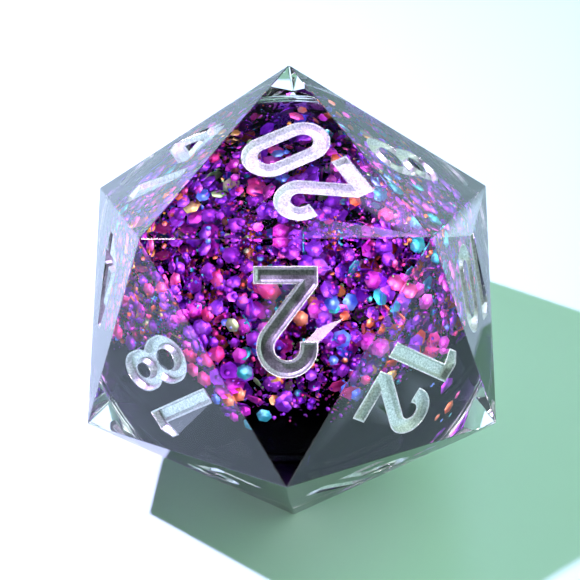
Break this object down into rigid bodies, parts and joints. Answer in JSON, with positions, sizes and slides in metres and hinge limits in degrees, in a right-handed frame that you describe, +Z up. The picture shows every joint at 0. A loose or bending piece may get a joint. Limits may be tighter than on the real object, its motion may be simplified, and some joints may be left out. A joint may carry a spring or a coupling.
{
  "type": "polyhedral die",
  "caption": "Clear icosahedral gaming die with engraved, silver-painted numerals and a sealed spherical capsule of dark liquid and hexagonal glitter that swirls inside it.",
  "frame": {"origin": "middle of the face numbered 1, on which the die lies", "axes": "+Z up through the middle of the 1 and the 20; -Y towards the face numbered 2; +X to the right of a viewer who looks along +Y"},
  "size_m": [0.0352, 0.0406, 0.033],
  "materials": {
    "clear_resin": "water-clear cast epoxy, hand-polished to a high gloss with crisp edges",
    "capsule_shell": "clear moulded plastic, almost invisible in the resin",
    "core_liquid": "liquid tinted almost black, with a violet cast",
    "silver_paint": "satin metallic silver paint with a fine grain",
    "flake_violet": "iridescent polyester film, mirror-bright",
    "flake_purple": "iridescent polyester film, mirror-bright",
    "flake_magenta": "iridescent polyester film, mirror-bright",
    "flake_rose": "iridescent polyester film, mirror-bright",
    "flake_orange": "iridescent polyester film, mirror-bright",
    "flake_gold": "iridescent polyester film, mirror-bright",
    "flake_green": "iridescent polyester film, mirror-bright",
    "flake_teal": "iridescent polyester film, mirror-bright",
    "flake_blue": "iridescent polyester film, mirror-bright"
  },
  "bodies": {
    "die": {"resin_body": "clear_resin", "capsule_upper": "capsule_shell", "capsule_lower": "capsule_shell", "fill_plug": "capsule_shell", "numeral_01": "silver_paint", "numeral_02": "silver_paint", "numeral_03": "silver_paint", "numeral_04": "silver_paint", "numeral_05": "silver_paint", "numeral_06": "silver_paint", "numeral_07": "silver_paint", "numeral_08": "silver_paint", "numeral_09": "silver_paint", "numeral_10": "silver_paint", "numeral_11": "silver_paint", "numeral_12": "silver_paint", "numeral_13": "silver_paint", "numeral_14": "silver_paint", "numeral_15": "silver_paint", "numeral_16": "silver_paint", "numeral_17": "silver_paint", "numeral_18": "silver_paint", "numeral_19": "silver_paint", "numeral_20": "silver_paint"},
    "glitter_core": {"core_liquid": "core_liquid", "flakes_large_violet": "flake_violet", "flakes_large_purple": "flake_purple", "flakes_large_magenta": "flake_magenta", "flakes_large_rose": "flake_rose", "flakes_large_orange": "flake_orange", "flakes_large_gold": "flake_gold", "flakes_large_green": "flake_green", "flakes_large_teal": "flake_teal", "flakes_large_blue": "flake_blue", "flakes_small_violet": "flake_violet", "flakes_small_purple": "flake_purple", "flakes_small_magenta": "flake_magenta", "flakes_small_rose": "flake_rose", "flakes_small_orange": "flake_orange", "flakes_small_gold": "flake_gold", "flakes_small_green": "flake_green", "flakes_small_teal": "flake_teal", "flakes_small_blue": "flake_blue"}
  },
  "joints": [
    {"name": "core_swirl", "type": "hinge", "parent": "die", "child": "glitter_core", "pos_m": [0, 0, 0.0165], "axis": [0, 0, 1], "continuous": true}
  ]
}
